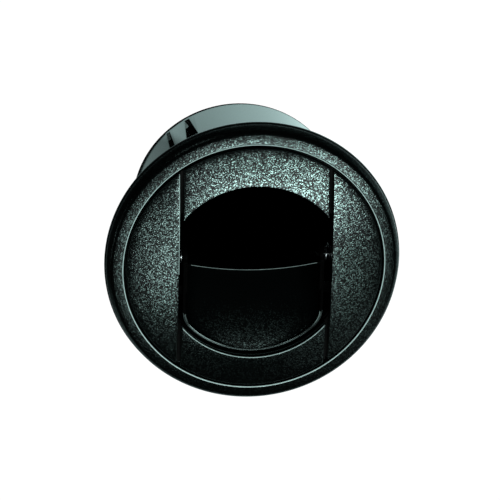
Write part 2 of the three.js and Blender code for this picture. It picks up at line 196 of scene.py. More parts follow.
def prism(name, outline, low, high):
    """An upright prism over a list of (x, y) points."""
    count = len(outline)
    points = [(x, y, low) for x, y in outline] + [(x, y, high) for x, y in outline]
    faces = [list(range(count))[::-1], list(range(count, 2 * count))]
    for k in range(count):
        n = (k + 1) % count
        faces.append([k, n, count + n, count + k])
    obj = mesh_object(name, points, faces)
    face_outwards(obj)
    return obj


def circle(radius, x=0.0, y=0.0, segments=ROUND_SEGMENTS):
    turns = (2 * math.pi * k / segments for k in range(segments))
    return [(x + radius * math.cos(t), y + radius * math.sin(t)) for t in turns]


def rectangle(x0, x1, y0, y1):
    return [(x0, y0), (x1, y0), (x1, y1), (x0, y1)]


def apply_modifiers(obj):
    graph = bpy.context.evaluated_depsgraph_get()
    mesh = bpy.data.meshes.new_from_object(obj.evaluated_get(graph))
    obj.modifiers.clear()
    obj.data = mesh


def combine(obj, others, operation):
    """Joins or cuts obj with each of the other objects, which are then removed."""
    for other in others:
        modifier = obj.modifiers.new("combine", "BOOLEAN")
        modifier.operation = operation
        modifier.solver = "EXACT"
        modifier.object = other
        apply_modifiers(obj)
        bpy.data.objects.remove(other)
    return obj


def soften_edges(obj, width):
    """Bevels every edge that is sharper than a gentle bend."""
    modifier = obj.modifiers.new("soften", "BEVEL")
    modifier.width = width
    modifier.segments = 2
    modifier.limit_method = "ANGLE"
    modifier.angle_limit = math.radians(35)
    apply_modifiers(obj)


def smooth(obj, angle_deg=32):
    """Smooth shading, with edges sharper than the angle left sharp."""
    bm = bmesh.new()
    bm.from_mesh(obj.data)
    limit = math.radians(angle_deg)
    for face in bm.faces:
        face.smooth = True
    for edge in bm.edges:
        edge.smooth = len(edge.link_faces) == 2 and edge.calc_face_angle(0) < limit
    bm.to_mesh(obj.data)
    bm.free()


def finish_piece(obj, body, material, node):
    """Gives a piece its material, the body it rides on and the CAD node it replaces."""
    obj.data.materials.clear()
    obj.data.materials.append(material)
    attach(obj, body)
    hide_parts(node)


def paint(obj, material, wanted):
    """Gives the faces whose centre passes the test another material."""
    materials = obj.data.materials
    if material.name not in materials:
        materials.append(material)
    number = materials.find(material.name)
    for face in obj.data.polygons:
        if wanted(face.center):
            face.material_index = number


# ---- materials ------------------------------------------------------------------------------------

FACETS_PER_METRE = 3700
GRAIN_PER_METRE = 3400
DARK_SHARE = 0.55  # share of the grain's facets that stay dark
DARK_PLASTIC = (0.001, 0.0015, 0.0015, 1)


def new_material(name):
    material = bpy.data.materials.new(name)
    material.use_nodes = True
    nodes = material.node_tree.nodes
    return material, nodes, material.node_tree.links, nodes["Principled BSDF"]


def object_place(nodes):
    """The shaded point in the object's own coordinates."""
    return nodes.new("ShaderNodeTexCoord").outputs["Object"]


def noise(nodes, links, source, scale, detail):
    node = nodes.new("ShaderNodeTexNoise")
    node.inputs["Scale"].default_value = scale
    node.inputs["Detail"].default_value = detail
    links.new(source, node.inputs["Vector"])
    return node.outputs["Fac"]


def ramp(nodes, links, source, *stops):
    """Colours or greys between stops, each (position, colour)."""
    node = nodes.new("ShaderNodeValToRGB")
    elements = node.color_ramp.elements
    for _ in stops[2:]:
        elements.new(1.0)
    for element, (position, colour) in zip(elements, stops):
        element.position = position
        element.color = colour
    links.new(source, node.inputs["Fac"])
    return node.outputs["Color"]


def grey(value):
    return (value, value, value, 1)


def bump(nodes, links, shader, height, strength, distance):
    node = nodes.new("ShaderNodeBump")
    node.inputs["Strength"].default_value = strength
    node.inputs["Distance"].default_value = distance
    links.new(height, node.inputs["Height"])
    links.new(node.outputs["Normal"], shader.inputs["Normal"])


def spread_over(nodes, links, source, start, end):
    """Maps one (position, value) pair smoothly to another."""
    node = nodes.new("ShaderNodeMapRange")
    node.interpolation_type = "SMOOTHSTEP"
    for word, (position, value) in (("Min", start), ("Max", end)):
        node.inputs[f"From {word}"].default_value = position
        node.inputs[f"To {word}"].default_value = value
    links.new(source, node.inputs["Value"])
    return node.outputs["Result"]


def calculate(nodes, links, operation, first, second):
    node = nodes.new("ShaderNodeMath")
    node.operation = operation
    links.new(first, node.inputs[0])
    links.new(second, node.inputs[1])
    return node.outputs["Value"]


def mottle(nodes, links, shader, scale, detail, dark, light):
    """Lets the base colour wander between two shades, and returns the noise that it follows."""
    wander = noise(nodes, links, object_place(nodes), scale, detail)
    links.new(ramp(nodes, links, wander, (0.3, dark), (0.7, light)), shader.inputs["Base Color"])
    return wander


def grained_plastic(name, gain=1.0, shaded_y=None, lit_y=None):
    """Black plastic with a fine moulded grain, whose tiny facets glitter unevenly.

    With both places given, the facets fade out from the lit place towards the shaded one: painted shade.
    """
    dim_facet = (0.02 * gain, 0.026 * gain, 0.025 * gain, 1)
    bright_facet = (0.18 * gain, 0.24 * gain, 0.23 * gain, 1)
    material, nodes, links, shader = new_material(name)
    place = object_place(nodes)
    facets = nodes.new("ShaderNodeTexVoronoi")
    facets.inputs["Scale"].default_value = FACETS_PER_METRE
    links.new(place, facets.inputs["Vector"])
    chance = nodes.new("ShaderNodeSeparateColor")
    links.new(facets.outputs["Color"], chance.inputs["Color"])
    light = chance.outputs["Red"]
    # painted shade: fewer facets light up towards the shaded place
    if shaded_y is not None:
        axes = nodes.new("ShaderNodeSeparateXYZ")
        links.new(place, axes.inputs["Vector"])
        share = spread_over(nodes, links, axes.outputs["Y"], (lit_y, 1.0), (shaded_y, 0.5))
        light = calculate(nodes, links, "MULTIPLY", light, share)
    shade = ramp(
        nodes, links, light,
        (DARK_SHARE, DARK_PLASTIC), (DARK_SHARE + 0.03, dim_facet), (1.0, bright_facet),
    )
    links.new(shade, shader.inputs["Base Color"])
    glitter = ramp(nodes, links, light, (DARK_SHARE, grey(0)), (DARK_SHARE + 0.02, grey(1)))
    links.new(glitter, shader.inputs["Metallic"])
    bump(nodes, links, shader, noise(nodes, links, place, GRAIN_PER_METRE, 0.0), 1.0, 0.03 * MM)
    shader.inputs["Roughness"].default_value = 0.24
    shader.inputs["Specular IOR Level"].default_value = 0.15
    return material


def smooth_plastic():
    """Smooth glossy black plastic of the tube, with a faint waviness."""
    material, nodes, links, shader = new_material("smooth_plastic")
    wave = mottle(nodes, links, shader, 60, 1.0, (0.004, 0.005, 0.005, 1), (0.007, 0.009, 0.009, 1))
    bump(nodes, links, shader, wave, 0.05, 0.4 * MM)
    shader.inputs["Roughness"].default_value = 0.12
    shader.inputs["Specular Tint"].default_value = (0.8, 1.0, 0.98, 1)
    return material


def satin_black(name, dark, light, reflection):
    """Plain satin black plastic of the carrier; a darker, duller copy of it is painted shade on the dish's
    sides.
    """
    material, nodes, links, shader = new_material(name)
    wave = mottle(nodes, links, shader, 500, 3.0, grey(dark), grey(light))
    bump(nodes, links, shader, wave, 0.15, 0.1 * MM)
    shader.inputs["Roughness"].default_value = 0.5
    shader.inputs["Specular IOR Level"].default_value = reflection
    return material


def steel(name, dark, light):
    """Steel whose shade and polish vary finely."""
    material, nodes, links, shader = new_material(name)
    streaks = mottle(nodes, links, shader, 1500, 3.0, dark, light)
    polish = ramp(nodes, links, streaks, (0.3, grey(0.2)), (0.7, grey(0.38)))
    links.new(polish, shader.inputs["Roughness"])
    shader.inputs["Metallic"].default_value = 1.0
    return material


def painted_highlight_edge(name, dark, light):
    """A painted highlight: a pale line along a moulded edge, standing in for the light that the edge
    catches.
    """
    material, nodes, links, shader = new_material(name)
    mottle(nodes, links, shader, 900, 2.0, dark, light)
    shader.inputs["Roughness"].default_value = 0.35
    return material


def bumper_rubber():
    material, nodes, links, shader = new_material("rubber")
    mottle(nodes, links, shader, 1400, 3.0, grey(0.006), grey(0.016))
    shader.inputs["Roughness"].default_value = 0.85
    return material


GRAINED = grained_plastic("grained_plastic")
LINER_GRAIN = grained_plastic("liner_grain", gain=0.62)
# painted shade: the dish's grain fades out towards its lip
DISH_GRAIN_AND_SHADE = grained_plastic("dish_grain_and_shade", shaded_y=-9 * MM, lit_y=-22 * MM)
SMOOTH = smooth_plastic()
CARRIER = satin_black("carrier_plastic", 0.003, 0.006, 0.06)
# painted shade: a darker, duller copy of the carrier's plastic for the dish's sides, ears and tabs
DISH_SIDE_SHADE = satin_black("dish_side_painted_shade", 0.0008, 0.0014, 0.01)
STEEL = steel("steel", (0.3, 0.31, 0.32, 1), (0.46, 0.47, 0.48, 1))
SPRING_STEEL = steel("spring_steel", (0.04, 0.041, 0.042, 1), (0.08, 0.081, 0.082, 1))
BLACK_STEEL = steel("black_steel", (0.02, 0.021, 0.022, 1), (0.045, 0.046, 0.047, 1))
# painted highlight: pale lines on the liner's bead, the left plate's edge and the bottom band's opening
# edge
HIGHLIGHT_EDGE = painted_highlight_edge("painted_highlight_edge", (0.55, 0.7, 0.68, 1), (0.78, 0.96, 0.94, 1))
# painted highlights: a faint line on the dish's rim crest and a brighter one on its lip
CREST_HIGHLIGHT = painted_highlight_edge("crest_highlight", (0.035, 0.045, 0.044, 1), (0.08, 0.1, 0.098, 1))
LIP_HIGHLIGHT = painted_highlight_edge("lip_highlight", (0.12, 0.16, 0.155, 1), (0.24, 0.31, 0.3, 1))
RUBBER = bumper_rubber()

# ---- liner ----------------------------------------------------------------------------------------

TONGUE_COUNT = 3
TONGUE_ANGLE_DEG = 126.4
TONGUE_ROOT_HALF = 2.75 * MM
TONGUE_HALF = 2 * MM
SLOT_LOW_Z = 2.5 * MM
SLOT_KNEE_Z = 17 * MM  # the slot widens from its low end to here
SLOT_CROSS_Z = 40.5 * MM  # the tongue's free end
SLOT_HIGH_Z = SEAT_Z - 4 * MM
SLOT_WIDE_LOW = 4.3 * MM
SLOT_WIDE_KNEE = 6 * MM
SLOT_NARROW = 4 * MM
BARB_LOW_Z = 26 * MM
BARB_HIGH_Z = 40 * MM
BARB_PROUD = 0.5 * MM
BARB_SUNK = 0.4 * MM  # how far the barb is sunk into the tongue
BARB_STEP = 0.8 * MM  # the barb's crest lies this far below its top
BARB_MARGIN = 0.4 * MM  # from the barb's side to the tongue's
SHOULDER_LOW_Z = SEAT_Z + 1.3 * MM
SHOULDER_HIGH_Z = FACE_Z - 0.62 * MM
SHOULDER_R = 40.7 * MM  # the shoulder rounds over from here to the flange's edge
SHOULDER_TURN = math.radians(81)
BEAD_LOW_R = RECESS_R + 0.22 * MM
BEAD_HIGH_R = LIP_R - 0.02 * MM


def liner_profile():
    """The section of tube, flange, rolled shoulder, bead and recess, as (r, z) points."""
    rim_z = SEAT_Z + 1.0 * MM
    step_r = FLANGE_R - 0.3 * MM
    corners = [
        (BORE_R, 0, 0.5 * MM), (TUBE_R, 0, 0.4 * MM), (TUBE_R, SEAT_Z, 0.4 * MM),
        (FLANGE_R, SEAT_Z, 0.45 * MM), (FLANGE_R, rim_z, 0.25 * MM), (step_r, rim_z + 0.15 * MM, 0.1 * MM),
    ]
    steps = 22
    for i in range(steps + 1):
        turn = SHOULDER_TURN * i / steps
        r = SHOULDER_R + (step_r - SHOULDER_R) * math.cos(turn)
        z = SHOULDER_LOW_Z + (SHOULDER_HIGH_Z - SHOULDER_LOW_Z) * math.sin(turn)
        corners.append((r, z, 0))
    corners += [
        (RECESS_R, FACE_Z + 0.12 * MM, LIP_ROUND), (RECESS_R, RECESS_Z, 0.25 * MM),
        (BORE_R, RECESS_Z, 0.35 * MM),
    ]
    return rounded(corners, steps=8)


def placed_on_tube(obj, angle_deg):
    """Turns a solid that was made on the +X side of the tube to its own angle."""
    obj.data.transform(Matrix.Rotation(math.radians(angle_deg), 4, "Z"))
    return obj


def radial_wedge(name, outline, depth_low, depth_high):
    """A solid whose outline lies in the plane across a radius: (sideways, z), swept along +X."""
    count = len(outline)
    points = [(depth_low, y, z) for y, z in outline] + [(depth_high, y, z) for y, z in outline]
    faces = [list(range(count)), list(range(count, 2 * count))]
    for k in range(count):
        n = (k + 1) % count
        faces.append([k, n, count + n, count + k])
    obj = mesh_object(name, points, faces)
    face_outwards(obj)
    return obj


def tongue_slot():
    """A U-shaped cut round a tongue. One of its legs widens towards the flange."""
    return radial_wedge("slot", [
        (-SLOT_WIDE_LOW, SLOT_LOW_Z), (-SLOT_WIDE_KNEE, SLOT_KNEE_Z), (-SLOT_WIDE_KNEE, SLOT_HIGH_Z),
        (SLOT_NARROW, SLOT_HIGH_Z), (SLOT_NARROW, SLOT_LOW_Z), (TONGUE_ROOT_HALF, SLOT_LOW_Z),
        (TONGUE_HALF, SLOT_KNEE_Z), (TONGUE_HALF, SLOT_CROSS_Z), (-TONGUE_HALF, SLOT_CROSS_Z),
        (-TONGUE_HALF, SLOT_KNEE_Z), (-TONGUE_ROOT_HALF, SLOT_LOW_Z),
    ], BORE_R - 3 * MM, TUBE_R + 2 * MM)


def barb_wedge():
    """A low ramp on a tongue's outside, steep at its upper end."""
    half = TONGUE_HALF - BARB_MARGIN
    root = TUBE_R - BARB_SUNK
    profile = [
        (root, BARB_LOW_Z), (TUBE_R + BARB_PROUD, BARB_HIGH_Z - BARB_STEP), (root, BARB_HIGH_Z),
    ]
    points = [(r, -half, z) for r, z in profile] + [(r, half, z) for r, z in profile]
    faces = [[0, 1, 2], [5, 4, 3], [0, 3, 4, 1], [1, 4, 5, 2], [2, 5, 3, 0]]
    obj = mesh_object("barb", points, faces)
    face_outwards(obj)
    soften_edges(obj, 0.15 * MM)
    return obj


def make_liner():
    liner = revolve("liner_moulding", liner_profile())
    angles = [TONGUE_ANGLE_DEG + i * 360 / TONGUE_COUNT for i in range(TONGUE_COUNT)]
    combine(liner, [placed_on_tube(tongue_slot(), angle) for angle in angles], "DIFFERENCE")
    combine(liner, [placed_on_tube(barb_wedge(), angle) for angle in angles], "UNION")
    smooth(liner)
    finish_piece(liner, "liner", SMOOTH, "liner")
    bead_z = FACE_Z - 0.35 * MM
    paint(liner, LINER_GRAIN, lambda p: p.z > SHOULDER_LOW_Z and p.xy.length > BEAD_HIGH_R)
    # painted highlight along the bead's crest
    paint(liner, HIGHLIGHT_EDGE, lambda p: p.z > bead_z and BEAD_LOW_R < p.xy.length <= BEAD_HIGH_R)


# ---- plates and bands -----------------------------------------------------------------------------

EDGE_ROUND = 0.28 * MM
GRID = 1.6 * MM  # spacing of the points inside a plate's face
SHARP_TURN = math.radians(15)
SKIN_DEPTH = 0.02 * MM  # anything deeper under the dome is edge or underside


def arc(radius, centre_y, start_deg, end_deg, steps):
    """Points along an arc whose centre lies on the Y axis."""
    points = []
    for k in range(steps + 1):
        turn = math.radians(start_deg + (end_deg - start_deg) * k / steps)
        points.append(Vector((radius * math.cos(turn), centre_y + radius * math.sin(turn))))
    return points


def straight(a, b):
    """Points between a and b, without the two ends."""
    count = max(2, round((b - a).length / GRID))
    return [a.lerp(b, k / count) for k in range(1, count)]


def is_corner(outline, i):
    before, here, after = outline[i - 1], outline[i], outline[(i + 1) % len(outline)]
    return (here - before).angle(after - here) >= SHARP_TURN


def soften_corners(outline, reach):
    """Cuts each sharp corner of a closed outline back by reach and bridges it with a curve."""
    count = len(outline)
    corners = [outline[i] for i in range(count) if is_corner(outline, i)]
    steps = 6
    result = []
    for i, here in enumerate(outline):
        if not is_corner(outline, i):
            if all((here - corner).length > reach for corner in corners):
                result.append(here)
            continue
        before, after = outline[i - 1], outline[(i + 1) % count]
        start = here + (before - here).normalized() * reach
        end = here + (after - here).normalized() * reach
        for k in range(steps + 1):
            t = k / steps
            result.append(start * (1 - t) ** 2 + here * 2 * t * (1 - t) + end * t * t)
    return result


def inset(outline, distance):
    """Moves a closed, anticlockwise outline inwards."""
    count = len(outline)
    moved = []
    for i, here in enumerate(outline):
        first = (here - outline[i - 1]).normalized()
        second = (outline[(i + 1) % count] - here).normalized()
        normal_a = Vector((-first.y, first.x))
        normal_b = Vector((-second.y, second.x))
        normal = (normal_a + normal_b).normalized()
        moved.append(here + normal * (distance / max(0.3, normal.dot(normal_a))))
    return moved


def inside(point, outline):
    """True when a ray from the point crosses the outline an odd number of times."""
    hit = False
    for a, b in zip(outline, outline[1:] + outline[:1]):
        if (a.y > point.y) != (b.y > point.y):
            if point.x < (b.x - a.x) * (point.y - a.y) / (b.y - a.y) + a.x:
                hit = not hit
    return hit


def filled(outline, grid):
    """Points and triangles that fill an outline, with a grid of points inside it."""
    count = len(outline)
    points = list(outline)
    xs = [p.x for p in outline]
    ys = [p.y for p in outline]
    if grid:
        margin = 0.6 * grid
        rows = int((max(ys) - min(ys)) / grid)
        columns = int((max(xs) - min(xs)) / grid)
        for j in range(1, rows + 1):
            for i in range(1, columns + 1):
                shift = 0.5 * (j % 2)
                p = Vector((min(xs) + (i - shift) * grid, min(ys) + j * grid))
                clear = min((p - q).length for q in outline) > margin
                if clear and inside(p, outline):
                    points.append(p)
    edges = [(k, (k + 1) % count) for k in range(count)]
    verts, _, faces, _, _, _ = delaunay_2d_cdt(points, edges, [], 1, TOUCH)
    return verts, faces


def cap_faces(points, ring, first, height, grid):
    """Fills a ring of existing points, adding inner points; returns faces in the whole list's numbers."""
    verts, faces = filled(ring, grid)
    count = len(ring)
    numbers = []
    for v in verts:
        near = min(range(count), key=lambda k: (ring[k] - v).length_squared)
        if (ring[near] - v).length < TOUCH:
            numbers.append(first + near)
        else:
            numbers.append(len(points))
            points.append((v.x, v.y, height(v)))
    return [[numbers[i] for i in face] for face in faces]


def domed_slab(name, outline, base_z):
    """A plate with a flat base and the face's dome on top, its upper edge rounded."""
    rings = []
    steps = 4
    for k in range(steps + 1):
        turn = math.pi / 2 * k / steps
        ring = inset(outline, EDGE_ROUND * (1 - math.cos(turn)))
        drop = EDGE_ROUND * (1 - math.sin(turn))
        rings.append([(p.x, p.y, dome_z(p.x, p.y) - drop) for p in ring])
    count = len(outline)
    points = [(p.x, p.y, base_z) for p in outline]
    faces = []
    for ring in rings:
        start = len(points)
        points += ring
        for k in range(count):
            n = (k + 1) % count
            faces.append([start - count + k, start - count + n, start + n, start + k])
    top_ring = [Vector(p[:2]) for p in rings[-1]]
    faces += cap_faces(points, top_ring, len(points) - count, lambda p: dome_z(p.x, p.y), GRID)
    faces += [f[::-1] for f in cap_faces(points, outline, 0, lambda p: base_z, 0)]
    obj = mesh_object(name, points, faces)
    face_outwards(obj)
    return obj


def below_dome(p):
    """Depth of a point under the face's sphere."""
    return dome_z(p.x, p.y) - p.z


def on_edge(p):
    """True on a slab's rounded upper edge."""
    return SKIN_DEPTH < below_dome(p) < EDGE_ROUND


def side_outline(side):
    """The D of a side plate, anticlockwise."""
    half = math.degrees(math.acos(PLATE_X / CAP_R))
    curve = arc(CAP_R, 0, -half, half, 60)
    outline = curve + straight(curve[-1], curve[0])
    outline = soften_corners(outline, 0.35 * MM)
    if side < 0:
        outline = [Vector((-p.x, p.y)) for p in outline][::-1]
    return outline


def band_outline(end):
    """The top (end 1) or bottom (end -1) band, anticlockwise."""
    outer_half = math.degrees(math.asin(BAND_X / CAP_R))
    inner_half = math.degrees(math.asin(BAND_X / OPENING_R))
    outer = arc(CAP_R, 0, 90 - outer_half, 90 + outer_half, 48)
    inner = arc(OPENING_R, end * OPENING_Y, 90 + inner_half, 90 - inner_half, 60)
    outline = outer + straight(outer[-1], inner[0]) + inner + straight(inner[-1], outer[0])
    outline = soften_corners(outline, 0.3 * MM)
    if end < 0:
        outline = [Vector((p.x, -p.y)) for p in outline][::-1]
    return outline


def on_opening_edge(p):
    """True along the rounded edge round the opening."""
    reach = math.hypot(p.x, abs(p.y) - abs(OPENING_Y))
    return on_edge(p) and reach < OPENING_R + EDGE_ROUND and abs(p.x) < BAND_X - 0.3 * MM


def make_cover(word, outline, node):
    cover = domed_slab(f"{word}_cover", outline, PLATE_BASE_Z)
    smooth(cover, 50)
    finish_piece(cover, "cap", GRAINED, node)
    paint(cover, SMOOTH, lambda p: below_dome(p) > SKIN_DEPTH)
    return cover


def make_face():
    left_plate = make_cover("left_side", side_outline(-1), "left_side_plate")
    # painted highlight on the left plate's straight edge, on its upper half only
    paint(left_plate, HIGHLIGHT_EDGE, lambda p: on_edge(p) and abs(p.x) < PLATE_X + EDGE_ROUND and p.y > 0)
    make_cover("right_side", side_outline(1), "right_side_plate")
    make_cover("top_band", band_outline(1), "top_band")
    bottom_band = make_cover("bottom_band", band_outline(-1), "bottom_band")
    # painted highlight round the opening's rounded edge
    paint(bottom_band, HIGHLIGHT_EDGE, on_opening_edge)


# ---- finger scoop ---------------------------------------------------------------------------------

EAR_WIDTH = 1.2 * MM
EAR_R = 2.5 * MM
PIN_HOLE_R = 1.25 * MM
BUMPER_X = 23.4 * MM
BUMPER_Y = -8 * MM
TAB_TOP_Z = 49.2 * MM  # stop tabs of the scoop, under the bumpers
TAB_THICKNESS = 1.3 * MM
TAB_HALF = 1.5 * MM  # half its length
DISH_SEGMENTS = 240
CREST_STEPS = 6  # mesh strips over the crest of the dish's rim


def outline_radius(angle):
    """Distance from the dish's middle to its half-moon outline."""
    dx, dy = math.cos(angle), math.sin(angle)
    back = OPENING_Y - SCOOP_MID_Y
    to_arc = dy * back + math.sqrt(SCOOP_R**2 - (dx * back) ** 2)
    to_side = SCOOP_X / max(abs(dx), TOUCH)
    reaches = [to_arc, to_side]
    if dy > TOUCH:
        reaches.append((SCOOP_LIP_Y - SCOOP_MID_Y) / dy)
    total = sum((reach / SCOOP_X) ** -SCOOP_CORNER for reach in reaches)
    return SCOOP_X * total ** (-1 / SCOOP_CORNER)


def bow_lip(x, y):
    """The lip bows towards the bottom band."""
    share = min(1, max(0, (y - SCOOP_MID_Y) / (SCOOP_LIP_Y - SCOOP_MID_Y)))
    share = share * share * (3 - 2 * share)
    return y + share * SCOOP_LIP_SAG * ((x / SCOOP_X) ** 2 - 0.5)


def floor_depth(share, y):
    """Depth of the dish's floor: a ramp down to a trough behind the lip, closed by steep walls."""
    along = min(1, max(0, (y - SCOOP_LOW_Y) / (SCOOP_LIP_Y - SCOOP_LOW_Y)))
    ramp_depth = SCOOP_DEPTH * along * (SCOOP_START + (1 - SCOOP_START) * along)
    return ramp_depth * (1 - share**6) ** (0.5 * min(1, 3 * along))


def dish_rings():
    """The dish's turned section as (reach, share, drop), from the middle outside to the middle inside."""
    steps = 28
    crest = 0.028
    crest_height = 0.16 * MM
    chamfer = 0.2 * MM
    shares = [math.sin(math.pi / 2 * i / steps) for i in range(steps)] + [1]
    rings = []
    for share in shares:
        rings.append((share, share, crest_height + (SCOOP_WALL - crest_height) * math.sqrt(1 - share**8)))
    for i in range(1, CREST_STEPS + 1):
        turn = math.pi * i / CREST_STEPS
        reach = 1 - crest / 2 + crest / 2 * math.cos(turn)
        rings.append((reach, 1, crest_height * (1 - math.sin(turn))))
    for share in reversed(shares):
        rings.append((share * (1 - SCOOP_RIM_SHARE), share, chamfer))
    return rings


def dish_look(strip, centre):
    """The material of a face. Strips count inwards from the rim's outer edge, first over its crest."""
    if strip > CREST_STEPS:
        return DISH_GRAIN_AND_SHADE
    # Round the curve the crest gets a painted highlight line; beside the sides the lip gets a painted
    # highlight and the rest painted shade.
    if centre.y < SIDE_LOW_Y:
        return CREST_HIGHLIGHT if strip in (0, 1, 4, 5) else SMOOTH
    if strip in (2, 3) and abs(centre.x) < 0.9 * SCOOP_X:
        return LIP_HIGHLIGHT
    return DISH_SIDE_SHADE


def make_dish():
    """A turned dish whose round outline is stretched to the half-moon outline, then pressed down."""
    rings = dish_rings()
    profile = [(reach, -drop) for reach, _, drop in rings]
    dish = revolve("scoop_dish", profile, DISH_SEGMENTS, closed=False)
    numbers = [i for i, ring in enumerate(rings) for _ in range(DISH_SEGMENTS if ring[0] > 0 else 1)]
    for vertex, number in zip(dish.data.vertices, numbers):
        reach_share, share, drop = rings[number]
        angle = math.atan2(vertex.co.y, vertex.co.x) if reach_share > 0 else 0
        reach = reach_share * outline_radius(angle)
        x = reach * math.cos(angle)
        y = bow_lip(x, SCOOP_MID_Y + reach * math.sin(angle))
        vertex.co = (x, y, SCOOP_RIM_Z - drop - floor_depth(share, y))
    face_outwards(dish)
    looks = (DISH_GRAIN_AND_SHADE, SMOOTH, CREST_HIGHLIGHT, DISH_SIDE_SHADE, LIP_HIGHLIGHT)
    for material in looks:
        dish.data.materials.append(material)
    edge = next(i for i, ring in enumerate(rings) if ring[0] == 1)
    for face in dish.data.polygons:
        strip = face.index // DISH_SEGMENTS - edge
        face.material_index = looks.index(dish_look(strip, face.center))
    return dish


def cross_cylinder(name, radius, x0, x1, y, z, segments=PIN_SEGMENTS):
    """A cylinder that lies along X."""
    cylinder = prism(name, circle(radius, segments=segments), 0, abs(x1 - x0))
    cylinder.data.transform(Matrix.Rotation(math.pi / 2, 4, "Y"))
    cylinder.data.transform(Matrix.Translation((min(x0, x1), y, z)))
    return cylinder


def side_plate_shape(name, corners, x0, x1):
    """A flat plate across X whose outline is (y, z, radius) corners."""
    outline = rounded(corners, steps=5)
    plate = prism(name, [(p.x, p.y) for p in outline], 0, abs(x1 - x0))
    plate.data.transform(Matrix(((0, 0, 1, 0), (1, 0, 0, 0), (0, 1, 0, 0), (0, 0, 0, 1))))
    plate.data.transform(Matrix.Translation((min(x0, x1), 0, 0)))
    face_outwards(plate)
    return plate


def make_ear(side):
    """The ear that carries the dish's corner on its pin."""
    top = SCOOP_RIM_Z - 0.2 * MM
    corners = [
        (-8 * MM, top, 0.2 * MM), (1.6 * MM, top, 1.2 * MM),
        (PIVOT_Y + EAR_R * 0.96, PIVOT_Z + EAR_R * 0.28, 0.8 * MM),
        (PIVOT_Y + 0.4 * MM, PIVOT_Z - EAR_R, 0.8 * MM), (-5 * MM, PIVOT_Z - 1.2 * MM, 0.4 * MM),
    ]
    inner, outer = side * (SCOOP_X - EAR_WIDTH), side * SCOOP_X
    ear = side_plate_shape("ear", corners, inner, outer)
    hub = cross_cylinder("hub", EAR_R, inner, outer, PIVOT_Y, PIVOT_Z)
    combine(ear, [hub], "UNION")
    soften_edges(ear, 0.18 * MM)
    return ear


def box_solid(name, x0, x1, y0, y1, z0, z1):
    return prism(name, rectangle(min(x0, x1), max(x0, x1), y0, y1), z0, z1)


def make_stop_tab(side):
    tab = box_solid(
        "tab", side * (SCOOP_X - 1.1 * MM), side * (BUMPER_X + 0.6 * MM),
        BUMPER_Y - TAB_HALF, BUMPER_Y + TAB_HALF, TAB_TOP_Z - TAB_THICKNESS, TAB_TOP_Z,
    )
    soften_edges(tab, 0.2 * MM)
    return tab


def make_scoop():
    scoop = make_dish()
    extras = []
    holes = []
    for side in (-1, 1):
        extras += [make_ear(side), make_stop_tab(side)]
        reach = (side * (SCOOP_X - EAR_WIDTH - MM), side * (SCOOP_X + MM))
        holes.append(cross_cylinder("hole", PIN_HOLE_R, *reach, PIVOT_Y, PIVOT_Z))
    combine(scoop, extras, "UNION")
    combine(scoop, holes, "DIFFERENCE")
    smooth(scoop, 40)
    scoop.name = "finger_scoop_dish"
    ear_x = SCOOP_X - EAR_WIDTH - SINK
    # painted shade on the dish's ears, tabs and straight sides
    paint(scoop, DISH_SIDE_SHADE, lambda p: p.y > SIDE_LOW_Y and abs(p.x) > ear_x)
    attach(scoop, "scoop")
    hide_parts("finger_scoop")


# ---- carrier --------------------------------------------------------------------------------------

PIVOT_WALL = 1.8 * MM  # thickness of the two walls that hold the pins
PIVOT_WALL_HALF = 4 * MM  # half their length
PIVOT_WALL_DROP = 3.6 * MM  # how far they hang below the pins
RIB_WIDTH = 0.35 * MM  # ribs stand in the gaps between plates and bands
RIB_TOP_Z = 51 * MM
RIB_NEAR_Y = 17.6 * MM
RIB_FAR_Y = 30.4 * MM
CUT_STEPS = 80
SCREW_PLACES = {
    "plate_screw_left_upper": (-30 * MM, 12 * MM),
    "plate_screw_left_lower": (-30 * MM, -12 * MM),
    "plate_screw_right_upper": (30 * MM, 12 * MM),
    "plate_screw_right_lower": (30 * MM, -12 * MM),
    "band_screw_top": (0, 32.4 * MM),
    "band_screw_bottom": (0, -32.6 * MM),
}
SCREW_HEAD_R = 1.8 * MM
SCREW_SHANK_R = 0.9 * MM
SCREW_HEAD_TOP_Z = 49.8 * MM
SCREW_TIP_Z = 52.6 * MM


def carrier_opening():
    """Outline of the hole through the carrier: two arcs with straight sides between them."""
    outline = []
    half = math.asin(CARRIER_OPEN_X / CARRIER_OPEN_R)
    for centre in (math.pi / 2, -math.pi / 2):
        for k in range(CUT_STEPS + 1):
            turn = centre - half + 2 * half * k / CUT_STEPS
            x, y = CARRIER_OPEN_R * math.cos(turn), CARRIER_OPEN_R * math.sin(turn)
            outline.append((x, y + OPENING_Y))
    return outline


def make_skirt():
    joint_z = CARRIER_LOW_Z + 0.5 * MM
    return revolve("skirt", rounded([
        (CARRIER_OPEN_R, SKIRT_LOW_Z, 0.3 * MM), (SKIRT_R - 0.6 * MM, SKIRT_LOW_Z, 0.3 * MM),
        (SKIRT_R, SKIRT_LOW_Z + 2 * MM, 1 * MM), (SKIRT_R, joint_z, 0), (CARRIER_OPEN_R, joint_z, 0),
    ]))


def carrier_walls(side):
    """A pivot wall and two ribs."""
    walls = [box_solid(
        "wall", side * CARRIER_OPEN_X, side * (CARRIER_OPEN_X + PIVOT_WALL),
        PIVOT_Y - PIVOT_WALL_HALF, PIVOT_Y + PIVOT_WALL_HALF,
        PIVOT_Z - PIVOT_WALL_DROP, CARRIER_TOP_Z - SINK,
    )]
    rib_x = side * (PLATE_X + BAND_X) / 2
    for y0, y1 in ((RIB_NEAR_Y, RIB_FAR_Y), (-RIB_FAR_Y, -RIB_NEAR_Y)):
        walls.append(box_solid(
            "rib", rib_x - RIB_WIDTH / 2, rib_x + RIB_WIDTH / 2, y0, y1,
            CARRIER_TOP_Z - 0.5 * MM, RIB_TOP_Z,
        ))
    return walls


